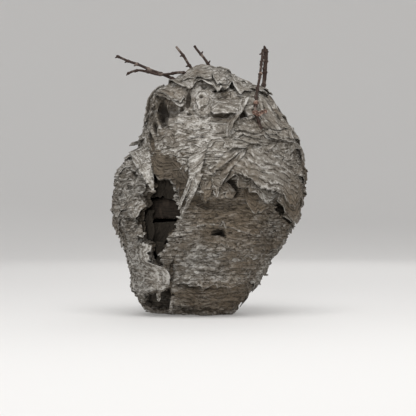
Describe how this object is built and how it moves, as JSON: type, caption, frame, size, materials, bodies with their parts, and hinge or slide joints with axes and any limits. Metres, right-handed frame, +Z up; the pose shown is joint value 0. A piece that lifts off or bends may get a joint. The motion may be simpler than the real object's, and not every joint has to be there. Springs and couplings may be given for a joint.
{
  "type": "paper wasp nest",
  "caption": "Closed egg-shaped wasp nest of grey layered paper, torn open on one side over its brood combs, with cut shrub twigs gripped at the top.",
  "frame": {"origin": "on the flat place under the nest that it rests on, below the middle of its combs", "axes": "+Z up through the top of the nest, -Y out of the front with the torn hole and the overhanging drape, +X to the right seen from the front"},
  "size_m": [0.2121, 0.2157, 0.2969],
  "materials": {
    "envelope": "dry layered wood-pulp paper in wavy grey bands, matte",
    "comb": "brown brood-comb paper, matte",
    "twig": "dark red-brown bark, satin",
    "bud": "dry orange-brown bud scale, matte"
  },
  "bodies": {
    "root": {"envelope": "envelope", "top_comb": "comb", "upper_comb": "comb", "lower_comb": "comb", "left_twig": "twig", "left_side_twig": "twig", "top_left_twig": "twig", "top_twig": "twig", "right_twig": "twig", "right_rear_twig": "twig", "bud_scale": "bud"}
  },
  "joints": []
}
